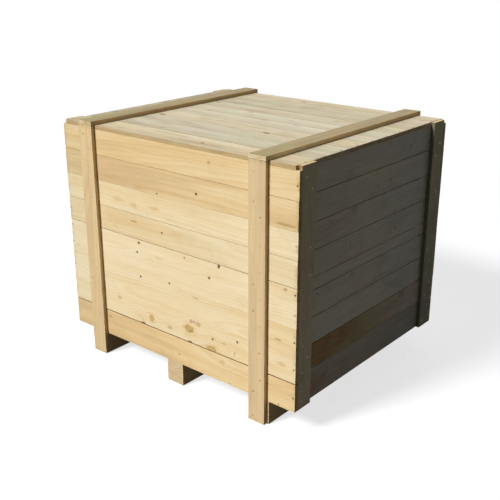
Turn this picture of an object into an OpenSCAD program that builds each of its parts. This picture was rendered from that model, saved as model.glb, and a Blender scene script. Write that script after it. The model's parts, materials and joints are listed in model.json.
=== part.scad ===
// Wooden packing box: boarded pine panels on battens, three skids and a nailed lid that lifts off.
// X runs along the boards of the long panels, Y along the skids, and Z up from the ground.
// The origin is on the ground at the middle of the box.

/* [Overall] */
// Length over the outer faces of the end battens
box_l = 1200; // [900:10:1500]
// Width over the outer faces of the long panels
box_w = 1000; // [750:10:1200]
// Height of the panels, from the tops of the skids to the underside of the lid
panel_h = 890; // [600:10:1100]

/* [Boards] */
// Thickness of the panel, floor and lid boards
board_t = 15; // [12:0.5:22]
// Width of the stock that the floor and lid are boarded with
board_w = 98; // [80:1:120]
// Narrowest strip that is laid as a board of its own
least_w = 40; // [30:1:60]
// Widths of the four lowest boards of the long panels, from the bottom up
long_lower_w = [113, 107, 106, 102]; // [80:1:130]
// Widths of the long panels' boards above the narrow one, below the top board
long_upper_w = [100, 101, 104]; // [80:1:130]
// Widths of the four lowest boards of the end panels, from the bottom up
end_lower_w = [122, 101, 104, 103]; // [80:1:130]
// Widths of the end panels' boards above the narrow one, below the top board
end_upper_w = [100, 101, 103]; // [80:1:130]
// Width of the narrow board that every panel has half way up
narrow_w = 47; // [40:1:70]
// Width of the lid's front board
lid_front_w = 117; // [90:1:130]

/* [Gaps between boards] */
// Gap at a joint that was cramped tight
tight_gap = 0.3; // [0.2:0.1:0.8]
// Gap at an ordinary joint
seam_gap = 1.5; // [0.5:0.5:3]
// Gap above the bottom board of the long panels, where the wood has shrunk
open_gap = 3; // [2:0.5:5]
// Play between the lid and the batten ends that stand up round it
lid_play = 1; // [0.5:0.5:3]

/* [Battens] */
// Thickness of the battens
batten_t = 16; // [12:0.5:25]
// Width of the long panels' battens and of the lid's
batten_w = 75; // [60:1:80]
// Width of the end panels' corner battens
end_batten_w = 80; // [70:1:120]
// Distance from the left end of the box to the near side of its upright battens
batten_inset_left = 117.5; // [90:2.5:200]
// Distance from the right end of the box to the near side of its upright battens
batten_inset_right = 127.5; // [90:2.5:200]

/* [Skids] */
// Width of a skid
skid_w = 85; // [80:1:120]
// Height of a skid
skid_h = 95; // [75:1:120]

/* [Eased edges] */
// Chamfer along the edges of boards and battens
board_arris = 0.6; // [0.2:0.1:2]
// Chamfer along the edges of the skids
skid_arris = 2; // [0.5:0.5:5]

/* [Nails] */
// Diameter of a nail's shank
nail_d = 3.1; // [2.5:0.1:3.5]
// Diameter of a nail's head
nail_head_d = 7; // [6:0.5:8]
// How far a head stands proud of the wood
nail_proud = 0.4; // [0.2:0.1:0.8]
// How deep the heads lie in the lid's battens, which have to be flat for the next box in a stack
nail_sink = 0.5; // [0.3:0.1:1]
// Wood left beyond the point of a nail that holds a board to a batten
nail_cover = 3; // [2:0.5:6]
// Length of the nails from the long panels into the corner battens
corner_nail_l = 36; // [30:1:36]
// Length of the nails into the skids, and from the lid's battens into the upright ones
long_nail_l = 50; // [40:1:50]
// Length of the nails into the edges and ends of boards
edge_nail_l = 40; // [30:1:45]
// Spacing that sets how many nails cross a board
nail_pitch = 50; // [40:1:70]
// How far the nails of a row stand left and right of its middle line
nail_stagger = 15; // [8:1:18]
// How far a nail may stray from its place
nail_stray = 3; // [0:0.5:4]
// Radial clearance of the holes that the lid's nails draw out of
nail_fit = 0.05; // [0.02:0.01:0.1]

/* [Hidden] */
nail_head_t = 1.2;
nail_neck = 0.8;
nail_point = 5;
hole_spare = 1;
closing_spread = 24;
round_fn = 24;
stray_seed = 11;

// Heights and half sizes that pieces share
lid_z = skid_h + panel_h;
lid_top = lid_z + board_t;
box_top = lid_top + batten_t;
half_l = box_l / 2;
half_w = box_w / 2;
end_face = half_l - batten_t;
inner_l = 2 * (end_face - board_t);
inner_w = box_w - 2 * board_t;
lid_l = 2 * (end_face - lid_play);
lid_w = box_w - 2 * lid_play;
batten_nail_l = batten_t + board_t - nail_cover;
end_batten_y = half_w - board_t - end_batten_w / 2;

// The inner side of each outer skid is flush with the upright battens that cover its ends
batten_x = [batten_inset_left + batten_w / 2 - half_l, half_l - batten_inset_right - batten_w / 2];
skid_shift = (skid_w - batten_w) / 2;
skid_x = [batten_x[0] - skid_shift, 0, batten_x[1] + skid_shift];

// Boards are laid from the first edge on; past the listed widths they are stock,
// and the last is ripped to what is left
function courses(span, widths, gaps, i = 0, from = 0) =
    let (to = from + (i < len(widths) ? widths[i] : board_w),
         gap = i < len(gaps) ? gaps[i] : seam_gap)
    span - to - gap < least_w
        ? [[from, span]]
        : concat([[from, to]], courses(span, widths, gaps, i + 1, to + gap));

long_widths = concat(long_lower_w, [narrow_w], long_upper_w);
end_widths = concat(end_lower_w, [narrow_w], end_upper_w);
long_gaps = [open_gap, tight_gap, tight_gap, tight_gap, seam_gap, seam_gap, tight_gap];
long_courses = courses(panel_h, long_widths, long_gaps);
end_courses = courses(panel_h, end_widths, [tight_gap]);
lid_courses = courses(lid_w, [lid_front_w], []);
floor_courses = courses(inner_w, [], []);

// Colours of the wood, from the palest to the brownest
cream = [0.90, 0.80, 0.62];
straw = [0.86, 0.72, 0.50];
gold = [0.84, 0.67, 0.42];
tan = [0.76, 0.59, 0.38];
rust = [0.70, 0.50, 0.31];
long_tones = [gold, cream, cream, cream, cream, straw, cream, tan, gold];
end_tones = [rust, rust, tan, straw, straw, tan, straw, tan, straw];
lid_tones = [straw, cream, straw];

// Section of a timber whose four long edges are eased
module section(w, h, ease) {
    polygon([[ease, 0], [w - ease, 0], [w, ease], [w, h - ease],
             [w - ease, h], [ease, h], [0, h - ease], [0, ease]]);
}

// Timbers of size [x, y, z] with one corner at the origin, named for the way they run
module timber_x(size, ease = board_arris) {
    rotate([90, 0, 90]) linear_extrude(size.x) section(size.y, size.z, ease);
}

module timber_y(size, ease = board_arris) {
    translate([0, size.y, 0]) rotate([90, 0, 0]) linear_extrude(size.y) section(size.x, size.z, ease);
}

module timber_z(size, ease = board_arris) {
    linear_extrude(size.z) section(size.x, size.y, ease);
}

// A nail driven down from the plane z = 0 to the depth l, with the top of its head at the height rise
module nail(l, rise = nail_proud) {
    head_r = nail_head_d / 2;
    shank_r = nail_d / 2;
    under_head = rise - nail_head_t;
    rotate_extrude($fn = round_fn)
        polygon([[0, rise], [head_r, rise], [head_r, under_head],
                 [shank_r, under_head - nail_neck], [shank_r, nail_point - l], [0, -l]]);
}

// The nails that cross one board, as places along it in zigzag about a middle line
function nail_rows(course) =
    let (n = max(1, round((course[1] - course[0]) / nail_pitch)))
    [for (i = [0 : n - 1]) course[0] + (course[1] - course[0]) * (i + 0.5) / n];
function side(i) = i % 2 == 0 ? -1 : 1;
function stray(n, seed) = rands(-nail_stray, nail_stray, n, stray_seed + seed);
function middle(course) = (course[0] + course[1]) / 2;

// Places [across, along] of the nails that hold boards to one batten
function batten_nails(list, seed) =
    let (rows = [for (c = list, r = nail_rows(c)) r],
         across = stray(len(rows), seed),
         along = stray(len(rows), seed + 1))
    [for (i = [0 : len(rows) - 1]) [side(i) * nail_stagger + across[i], rows[i] + along[i]]];

// Nails that hold the lid's boards to its battens
lid_batten_places = [for (b = [0, 1], p = batten_nails(lid_courses, 14 + 2 * b))
    [batten_x[b] + p.x, p.y - lid_w / 2, box_top]];

// Nails that hold the lid down, through its battens' ends and through its own edges
lid_edge_x = end_face - board_t / 2;
lid_edge_y = half_w - board_t / 2;
batten_end_y = half_w + batten_t / 2;
long_edge_x = [for (x = skid_x) x * 2 / 3];
batten_end_places = [for (x = batten_x, s = [-1, 1], y = [-batten_end_y, batten_end_y])
    [x + s * closing_spread, y, box_top]];
lid_edge_places = concat(
    [for (x = [-lid_edge_x, lid_edge_x], c = lid_courses) [x, middle(c) - lid_w / 2, lid_top]],
    [for (x = long_edge_x, y = [-lid_edge_y, lid_edge_y]) [x, y, lid_top]]);

// The holes in the panels and upright battens that the closing nails stand in
module nail_holes(places, l) {
    for (p = places)
        translate(p - [0, 0, l + hole_spare])
            cylinder(h = l, r = nail_d / 2 + nail_fit, $fn = round_fn);
}

module closing_holes() {
    nail_holes(batten_end_places, long_nail_l);
    nail_holes(lid_edge_places, edge_nail_l);
}

// The pockets in the tops of the lid's battens that the heads of their nails lie in
module head_pockets() {
    deep = nail_sink + nail_head_t;
    for (p = concat(lid_batten_places, batten_end_places))
        translate(p - [0, 0, deep])
            cylinder(h = deep + hole_spare, r = nail_head_d / 2 + nail_fit, $fn = round_fn);
}

// One board of a long panel, at the front
module long_board(i) {
    course = long_courses[i];
    color(long_tones[i % len(long_tones)])
        difference() {
            translate([-half_l, -half_w, skid_h + course[0]])
                timber_x([box_l, board_t, course[1] - course[0]]);
            if (i == len(long_courses) - 1)
                closing_holes();
        }
}

// One board of an end panel, at the right end, between the long panels
module end_board(i) {
    course = end_courses[i];
    color(end_tones[i % len(end_tones)])
        difference() {
            translate([end_face - board_t, -inner_w / 2, skid_h + course[0]])
                timber_y([board_t, inner_w, course[1] - course[0]]);
            if (i == len(end_courses) - 1)
                closing_holes();
        }
}

module lid_board(i) {
    course = lid_courses[i];
    color(lid_tones[i % len(lid_tones)])
        translate([-lid_l / 2, course[0] - lid_w / 2, lid_z])
            timber_x([lid_l, course[1] - course[0], board_t]);
}

module back_boards() {
    mirror([0, 1, 0])
        for (i = [0 : len(long_courses) - 1])
            long_board(i);
}

module left_end_boards() {
    mirror([1, 0, 0])
        for (i = [0 : len(end_courses) - 1])
            end_board(i);
}

module floor_boards() {
    color(straw)
        for (course = floor_courses)
            translate([-inner_l / 2, course[0] - inner_w / 2, skid_h])
                timber_x([inner_l, course[1] - course[0], board_t]);
}

module skid(x) {
    color(tan)
        translate([x - skid_w / 2, -half_w, 0])
            timber_y([skid_w, box_w, skid_h], skid_arris);
}

// An upright batten of the front panel, which covers the end of its skid
module front_batten(x) {
    color(straw)
        difference() {
            translate([x - batten_w / 2, -half_w - batten_t, 0])
                timber_z([batten_w, batten_t, lid_top]);
            closing_holes();
        }
}

// The front corner batten of the right end panel, behind the long panel's end
module end_batten() {
    color(tan)
        translate([end_face, -end_batten_y - end_batten_w / 2, skid_h])
            timber_z([batten_t, end_batten_w, panel_h + board_t]);
}

module lid_batten(x) {
    color(gold)
        difference() {
            translate([x - batten_w / 2, -half_w - batten_t, lid_top])
                timber_y([batten_w, box_w + 2 * batten_t, batten_t]);
            head_pockets();
        }
}

// Nails through the front panel's face; the places are [x, z]
module front_nail(place, depth, l) {
    translate([place.x, -half_w - depth, place.y]) rotate([90, 0, 0]) nail(l);
}

module front_nails() {
    foot_z = [skid_h / 4, skid_h / 2];
    floor_z = skid_h + board_t / 2;
    corner_x = half_l - batten_t / 2;
    color("gray")
        for (b = [0, 1]) {
            outer = skid_x[2 * b];
            overhang_x = (outer + side(b) * (skid_w + inner_l) / 2) / 2;
            for (p = batten_nails(long_courses, 2 * b))
                front_nail([batten_x[b] + p.x, skid_h + p.y], batten_t, batten_nail_l);
            for (i = [0, 1])
                front_nail([batten_x[b] + side(i) * nail_stagger, foot_z[i]], batten_t, long_nail_l);
            for (c = long_courses)
                front_nail([side(b) * corner_x, skid_h + middle(c)], 0, corner_nail_l);
            for (x = [outer / 3, outer * 2 / 3, overhang_x])
                front_nail([x, floor_z], 0, edge_nail_l);
        }
}

// Nails through the right end's face; the places are [y, z]
module end_nail(place, depth, l) {
    translate([end_face + depth, place.x, place.y]) rotate([0, 90, 0]) nail(l);
}

module right_end_nails() {
    clear_y = end_batten_y - end_batten_w / 2 - nail_head_d;
    color("gray") {
        for (s = [-1, 1])
            for (p = batten_nails(end_courses, 5 + s))
                end_nail([s * end_batten_y + p.x, skid_h + p.y], batten_t, batten_nail_l);
        for (c = floor_courses)
            if (abs(middle(c) - inner_w / 2) < clear_y)
                end_nail([middle(c) - inner_w / 2, skid_h + board_t / 2], 0, edge_nail_l);
    }
}

module floor_nails() {
    color("gray")
        for (s = [0 : 2], p = batten_nails(floor_courses, 8 + 2 * s))
            translate([skid_x[s] + p.x, p.y - inner_w / 2, skid_h + board_t])
                nail(long_nail_l);
}

module lid_batten_nails() {
    color("gray")
        for (p = lid_batten_places)
            translate(p) nail(batten_nail_l, -nail_sink);
}

module lid_closing_nails() {
    color("gray") {
        for (p = batten_end_places)
            translate(p) nail(long_nail_l, -nail_sink);
        for (p = lid_edge_places)
            translate(p) nail(edge_nail_l);
    }
}

for (i = [1 : len(long_courses)])
    long_board(i - 1);
for (i = [1 : len(end_courses)])
    end_board(i - 1);
for (i = [1 : len(lid_courses)])
    lid_board(i - 1);
back_boards();
left_end_boards();
floor_boards();
skid(skid_x[0]);  // left_skid
skid(skid_x[1]);  // middle_skid
skid(skid_x[2]);  // right_skid
front_batten(batten_x[0]);  // front_batten_left
front_batten(batten_x[1]);  // front_batten_right
mirror([0, 1, 0]) front_batten(batten_x[0]);  // back_batten_left
mirror([0, 1, 0]) front_batten(batten_x[1]);  // back_batten_right
end_batten();  // right_end_batten_front
mirror([0, 1, 0]) end_batten();  // right_end_batten_back
mirror([1, 0, 0]) end_batten();  // left_end_batten_front
mirror([1, 0, 0]) mirror([0, 1, 0]) end_batten();  // left_end_batten_back
lid_batten(batten_x[0]);  // lid_batten_left
lid_batten(batten_x[1]);  // lid_batten_right
front_nails();
mirror([0, 1, 0]) front_nails();  // back_nails
right_end_nails();
mirror([1, 0, 0]) right_end_nails();  // left_end_nails
floor_nails();
lid_batten_nails();
lid_closing_nails();
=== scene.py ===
"""A nailed packing box of planed pine on three skids, with boarded sides and a lid that lifts off.

Geometry Nodes make the timbers and the nails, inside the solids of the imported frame. The wood is a
solid pattern, which each board's own faces cut through. X runs along the long panels and Z is up.
Lengths are in metres, and only those of the knots' tables in millimetres.
"""

import json
import math
import random

import bpy
import numpy as np
from bpy.props import FloatProperty, FloatVectorProperty, PointerProperty
from mathutils import Matrix, Vector

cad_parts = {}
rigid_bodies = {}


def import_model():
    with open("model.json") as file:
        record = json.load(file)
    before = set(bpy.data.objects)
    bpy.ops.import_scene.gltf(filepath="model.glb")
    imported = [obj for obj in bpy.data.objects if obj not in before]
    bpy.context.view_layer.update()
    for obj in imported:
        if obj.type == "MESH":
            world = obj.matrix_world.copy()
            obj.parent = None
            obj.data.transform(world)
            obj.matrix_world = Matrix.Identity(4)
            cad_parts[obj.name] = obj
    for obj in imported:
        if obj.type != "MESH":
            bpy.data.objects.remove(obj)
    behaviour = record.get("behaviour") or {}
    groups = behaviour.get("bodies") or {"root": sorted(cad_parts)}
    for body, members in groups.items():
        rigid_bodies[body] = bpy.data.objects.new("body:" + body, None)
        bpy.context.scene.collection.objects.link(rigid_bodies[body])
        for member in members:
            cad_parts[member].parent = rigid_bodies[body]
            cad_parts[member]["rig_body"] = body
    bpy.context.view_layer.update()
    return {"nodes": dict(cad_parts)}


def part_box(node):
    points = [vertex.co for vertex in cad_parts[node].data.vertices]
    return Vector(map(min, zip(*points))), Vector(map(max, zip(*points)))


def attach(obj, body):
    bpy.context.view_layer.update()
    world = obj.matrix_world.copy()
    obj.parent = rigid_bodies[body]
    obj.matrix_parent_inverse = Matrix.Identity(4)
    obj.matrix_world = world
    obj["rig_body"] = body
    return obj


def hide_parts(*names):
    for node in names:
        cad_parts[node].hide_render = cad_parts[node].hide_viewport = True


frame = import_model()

bl_info = {
    "name": "Wooden packing box",
    "version": (1, 0, 0),
    "blender": (4, 5, 0),
    "location": "View3D > Sidebar > Packing box",
    "description": "Builds a nailed pine packing box with its boards, battens, skids and nails",
    "category": "Object",
}

X, Y, Z = Vector((1, 0, 0)), Vector((0, 1, 0)), Vector((0, 0, 1))
MM = 1000  # in a metre
WHITE = (1, 1, 1)  # as a tint, it changes nothing
VECTOR = "FLOAT_VECTOR"

# Each board's tone, from the bottom or the front on: how brown it is at its left or front end and
# at the other, from 0, the palest wood, to 1 and more, and how grey
FRONT_TONES = [(0.95, 0.60, 0), (0.26, 0.28, 0), (0.02, 0.38, 0), (0.10, 0.0, 0), (0.12, 0.30, 0),
               (0.52, 0.12, 0.08), (0.20, 0.04, 0), (0.84, 0.62, 0.05), (0.62, 0.62, 0)]
END_TONES = [(1.3, 0.3, 0.5), (1.7, 0.3, 0.3), (0.35, 0.3, 0.9), (0.3, 0.25, 0.9), (0.2, 0.2, 0.9),
             (0.3, 0.3, 0.9), (0.4, 0.25, 0.9), (0.45, 0.3, 0.9), (0.3, 0.3, 0.9)]
LID_TONES = [(0.5, 0.6, 0.6), (0.4, 0.1, 0.9), (0.6, 0.2, 1.0), (0.1, 0.5, 0.7), (0.5, 0.6, 0.9),
             (0.2, 0.3, 1.0), (0.8, 0.3, 0.8), (0.4, 0.9, 0.9), (0.8, 0.5, 0.8), (0.6, 0.5, 0.7)]

# Tints of the open faces: over the whole board, and what it fades to at one end
FRONT_FADE = (0.97, 0.985, 1.0)
END_WASHES = {1: (0.95, 0.97, 1.04), 2: (0.83, 0.85, 0.76)}
# Towards the back of the right end, END_BACK_SHADE and board 1's fade darken the boards: painted
# shade; board 2's fade lightens the back of its wash instead
END_FADES = {1: (0.86, 0.88, 0.90), 2: (1.22, 1.20, 1.48)}
END_BACK_SHADE = (0.84, 0.87, 0.90)
LID_LIGHTS = (0.99, 0.985, 0.985, 0.985, 1.005, 1.01, 0.965, 0.94, 0.95, 0.95)
LID_FADES = {1: (0.90, 0.92, 0.92), 7: (0.85, 0.84, 0.80), 8: (0.85, 0.84, 0.80),
             9: (0.84, 0.83, 0.79)}
LID_FADE = (0.87, 0.86, 0.82)

# How open and dark each joint looks, 0 to 1, from the first board's outer edge to the last one's
FRONT_JOINTS = (0.3, 0.95, 0.0, 0.0, 0.0, 0.62, 0.28, 0.4, 0.08, 0.4)
END_JOINTS = (0.5, 0.12, 1.0, 0.9, 0.75, 0.65, 0.75, 0.75, 0.85, 0.5)
LID_JOINTS = (0.25, 0.8, 0.4, 0.5, 0.4, 0.5, 0.4, 0.45, 0.6, 0.4, 0.4)

# Knots on the faces in view, as (along, up or back, radius, stretch, kind), in millimetres
FRONT_KNOTS = [
    (139, 822, 5, 1.1, "pin"), (203, 949, 4, 1.6, "red"), (-67, 785, 3, 1.3, "pin"),
    (-290, 719, 7, 2.4, "soft"), (-200, 712, 5.5, 2.2, "soft"), (-80, 720, 6, 2.6, "soft"),
    (-47, 632, 3.5, 1.3, "pin"), (-205, 645, 4, 4.5, "streak"), (-180, 561, 5, 1.3, "pin"),
    (-193, 519, 4.3, 1.2, "pin"), (-70, 524, 6, 1.8, "soft"), (70, 559, 4, 1.4, "red"),
    (244, 568, 7, 0.9, "pin"), (195, 510, 5, 1.2, "pin"), (-17, 431, 4.4, 0.9, "pin"),
    (-179, 417, 5, 0.9, "pin"), (124, 408, 3, 5.0, "streak"), (-314, 288, 7, 1.3, "dim"),
    (-125, 250, 13, 0.9, "sound"), (84, 266, 15, 1.4, "sound"), (97, 303, 8, 1.2, "mauve"),
    (112, 304, 5, 1.2, "mauve"), (134, 301, 9, 1.3, "dim"), (200, 216, 13, 1.7, "sound"),
    (208, 262, 4.3, 1.0, "pin"), (331, 289, 5, 0.9, "pin"), (318, 237, 10, 0.3, "streak"),
    (93, 260, 6, 1.6, "streak"), (-195, 236, 12, 1.8, "soft"), (-22, 240, 8, 1.7, "dim"),
    (265, 262, 3, 3.4, "streak"), (256, 178, 6, 1.5, "soft"), (-385, 179, 4, 1.8, "red"),
    (25, 137, 4, 1.2, "red"), (-565, 462, 7, 1.2, "soft"), (548, 793, 5, 9.0, "streak"),
    (-330, 806, 4, 12.0, "soft"), (549, 561, 5, 1.2, "red"), (520, 362, 4, 4.0, "streak"),
    (538, 270, 6, 2.3, "soft"), (-175, 213, 4, 2.6, "pin"), (88, 213, 3.5, 2.6, "pin"),
]
END_KNOTS = [
    (250, 930, 14, 0.6, "dim"), (5, 873, 9, 1.2, "dim"), (20, 820, 9, 1.1, "dim"),
    (110, 828, 6, 1.4, "dim"), (-142, 770, 12, 1.9, "dim"), (-185, 730, 7, 1.6, "dim"),
    (-155, 633, 8, 0.9, "pin"), (170, 613, 9, 0.9, "dim"), (153, 687, 8, 1.8, "dim"),
    (355, 655, 5, 1.8, "pin"), (-135, 515, 7, 1.5, "dim"), (-358, 507, 4, 1.1, "pin"),
    (-298, 272, 12, 1.6, "red"), (-278, 308, 8, 1.6, "dim"), (255, 303, 14, 1.6, "dim"),
    (-295, 158, 12, 1.4, "dim"), (-160, 152, 12, 1.6, "soft"), (-400, 268, 36, 3.2, "stain"),
    (-230, 280, 22, 4.0, "stain"), (-430, 150, 26, 2.4, "stain"),
]
LID_KNOTS = [
    (-106, 103, 7, 1.8, "red"), (43, 10, 7, 1.5, "red"), (205, 12, 9, 2.0, "dim"),
    (-270, 25, 8, 1.6, "red"), (203, -176, 8, 1.8, "pin"), (-80, 446, 6, 1.8, "pin"),
    (45, 400, 8, 1.8, "dim"), (10, 320, 7, 2.0, "red"), (-70, 220, 8, 3.0, "soft"),
    (285, 168, 9, 1.8, "dim"), (129, -450, 5, 1.5, "pin"), (-295, -460, 5, 4.0, "streak"),
    (-367, -166, 7, 2.6, "pin"), (-376, 198, 6, 2.4, "pin"), (184, -368, 5, 1.6, "dim"),
    (-174, -350, 6, 1.6, "dim"),
]

# Each kind of knot: its heart's and its rim's colour among the pine's, how solid the heart is, how
# plain the rim, and how strong the stain round it
KNOT_KINDS = {
    "stain": ("stain", "stain", 0.0, 0.0, 0.75), "soft": ("shadow", "shadow", 0.12, 0.0, 0.4),
    "dim": ("heart", "heart", 0.32, 0.0, 0.2), "sound": ("sound", "ring_round", 0.75, 0.55, 0.5),
    "mauve": ("mauve", "mauve", 0.6, 0.3, 0.2), "red": ("red", "heart", 0.6, 0.2, 0.25),
    "streak": ("ring_round", "heart", 0.5, 0.0, 0.1), "pin": ("heart", "heart", 0.92, 0.3, 0.2),
}
KNOT_MASKS = ("Heart", "Rim", "Branch", "Halo")

# What wear, weather and painted shade tint the wood with, as it looks on a screen
TINTS = {
    # joint darkens joints between boards, and is painted shade on the skids' and corner battens'
    # sides
    "canals": (0.72, 0.58, 0.42), "joint": (0.54, 0.47, 0.38), "grime": (0.62, 0.54, 0.44),
    "scuffs": (0.80, 0.76, 0.68), "warm": (1.0, 0.972, 0.97), "cool": (0.988, 1.0, 0.955),
    "bleach": (0.90, 0.865, 0.785), "checks": (0.66, 0.60, 0.50), "smears": (0.88, 0.86, 0.81),
    # lee is painted shade, the dark front edge of a cupped board
    "cup_shade": (0.87, 0.85, 0.81),
}

# What each place's corner battens get: their own washes; the right front ones darker towards the
# bottom; and painted shade on the right back ones, on their narrow faces and growing down their open
# faces
CORNERS = {
    "left": {"wash": (0.93, 0.92, 0.88)},
    "right front": {"wash": (0.90, 0.875, 0.81), "fading": (-0.2, -0.45, (0.87, 0.87, 0.85))},
    # Painted shade: darker narrow faces, and open faces darkening towards the foot
    "right back": {"wash": (0.96, 0.975, 0.905), "sides": (0.80, 0.92, 1.03), "gloss": 0.12,
                   "fading": (0.45, -0.45, (0.60, 0.62, 0.65))},
}

# Where each node's nails face
NAIL_FACES = {"front_nails": -Y, "back_nails": Y, "right_end_nails": X, "left_end_nails": -X,
              "floor_nails": Z, "lid_batten_nails": Z, "lid_closing_nails": Z}
RAINED_ON = 0.5  # beyond this x, nails in the panels' boards are the rustiest
SHELTERED = (0.58, 0.9)  # but not between these heights
RUST = {True: 1.0, False: 0.15}  # how much rustier than the battens' nails, if damp and if not
BATTEN_STEP = 0.005  # nails this much behind the foremost ones are in boards, not in battens

# What the dice give a timber: its seed, up to this, and where no table has it, its tone
SEEDS = 90
ANY_TONE = (0.05, 0.7)


def number(name, description, default, **more):
    return FloatProperty(name=name, description=description, default=default, **more)


def metres(name, description, default):
    return number(name, description, default, unit="LENGTH")


def degrees(name, description, default):
    return number(name, description, math.radians(default), subtype="ANGLE")


def screen_colour(name, description, default):
    return FloatVectorProperty(name=name, description=description, default=default,
                               subtype="COLOR_GAMMA")


class TimberSettings(bpy.types.PropertyGroup):
    """How true the boards and battens are planed and sawn."""

    spacing: metres("Station spacing", "Distance between sections along a timber", 0.0125)
    arris: metres("Arris", "Width of the eased edges", 0.0008)
    chips: metres("Chips", "Largest width that an edge is chipped to", 0.0035)
    wander: metres("Wander", "How far an edge strays from a straight line", 0.0006)
    unevenness: metres("Unevenness", "How far a face falls below its plane", 0.0006)
    trim: metres("Trim", "How far a sawn end may fall short", 0.0014)


class PineSettings(bpy.types.PropertyGroup):
    """Colours of the wood, as they look on a screen."""

    cream: screen_colour("Cream", "The palest sapwood", (0.962, 0.888, 0.735))
    straw: screen_colour("Straw", "Ordinary pale wood", (0.940, 0.850, 0.668))
    gold: screen_colour("Gold", "Warm yellow wood", (0.923, 0.805, 0.590))
    tan: screen_colour("Tan", "Brown wood", (0.862, 0.738, 0.540))
    grey: screen_colour("Grey", "Wood that has lain in the weather", (0.800, 0.772, 0.695))
    late: screen_colour("Late wood", "Tint of the dark part of each year ring",
                        (0.900, 0.810, 0.670))
    heart: screen_colour("Dead knot", "Heart of a small dark knot", (0.330, 0.245, 0.140))
    red: screen_colour("Red knot", "Heart of a small live knot", (0.700, 0.530, 0.400))
    sound: screen_colour("Large knot", "Heart of a large live knot", (0.790, 0.670, 0.380))
    ring_round: screen_colour("Knot ring", "Ring round a large live knot", (0.640, 0.510, 0.270))
    mauve: screen_colour("Mauve knot", "A knot stained pink by resin", (0.700, 0.560, 0.510))
    shadow: screen_colour("Shadow knot", "Wood over a knot that lies deeper", (0.780, 0.690, 0.520))
    stain: screen_colour("Stain", "Wood stained red by resin or rain", (0.820, 0.600, 0.420))
    ring: metres("Ring width", "Width of a year ring", 0.0065)


class NailSettings(bpy.types.PropertyGroup):
    """The nails."""

    head: metres("Head", "Diameter of a nail's head", 0.007)
    shank: metres("Shank", "Diameter of a nail's shank", 0.0031)
    plate: metres("Head thickness", "Thickness of a nail's head", 0.0012)
    steel: screen_colour("Steel", "Dull steel", (0.80, 0.71, 0.555))
    rust: screen_colour("Rust", "Rust on the steel", (0.66, 0.53, 0.37))
    crust: screen_colour("Crust", "The oldest rust", (0.30, 0.23, 0.16))


class StageSettings(bpy.types.PropertyGroup):
    """Camera, lamps and floor."""

    place: FloatVectorProperty(name="Camera", description="Where the camera stands",
                               default=(2.077, -2.5154, 1.6482), subtype="TRANSLATION",
                               unit="LENGTH")
    azimuth: degrees("Azimuth", "How far round the box the camera stands", 39.887)
    elevation: degrees("Elevation", "How far down the camera looks", 20.469)
    lens: number("Lens", "Focal length on a 36 mm sensor, in millimetres", 58.01)
    key: number("Key light", "Strength of the lamp from the front left", 3.92)
    softness: degrees("Softness", "Width of the key lamp", 14)
    back: number("Back light", "Strength of the lamp from the back left", 0.9)
    fill: number("Fill light", "Strength of the light from all round", 0.063)
    sky: FloatVectorProperty(name="Fill colour", description="Colour of the light from all round",
                             default=(0.72, 0.82, 1.0), subtype="COLOR")
    floor: number("Floor", "How much light the floor throws back", 0.0459, min=0, max=1)


def linear(colour):
    """A screen colour as the light it stands for, with alpha."""
    return [c / 12.92 if c <= 0.04045 else ((c + 0.055) / 1.055) ** 2.4 for c in colour] + [1.0]


def reckoning(operation, swapped=False):
    """How a Value reckons: by a Math node of that operation, with its inputs swapped or not."""
    def reckon(self, *other):
        inputs = (*other, self) if swapped else (self, *other)
        return self.tree.math(operation, *inputs)
    return reckon


class Value:
    """What a node puts out. Reckoning with it, by + - * / < > and the calls below, adds nodes."""

    def __init__(self, tree, socket):
        self.tree, self.socket = tree, socket

    __add__, __mul__ = reckoning("ADD"), reckoning("MULTIPLY")
    __sub__, __rsub__ = reckoning("SUBTRACT"), reckoning("SUBTRACT", swapped=True)
    __truediv__, __rtruediv__ = reckoning("DIVIDE"), reckoning("DIVIDE", swapped=True)
    __gt__, __lt__ = reckoning("GREATER_THAN"), reckoning("LESS_THAN")
    __abs__ = reckoning("ABSOLUTE")

    def fade(self, start, end):
        """0 at start, 1 at end, and smooth between."""
        return self.tree.value("ShaderNodeMapRange", self, start, end, 0.0, 1.0,
                               interpolation_type="SMOOTHSTEP")

    def bell(self):
        """1 at 0, and dying away on both sides of it."""
        return self.tree.math("EXPONENT", self * self * -1.0)


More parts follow.
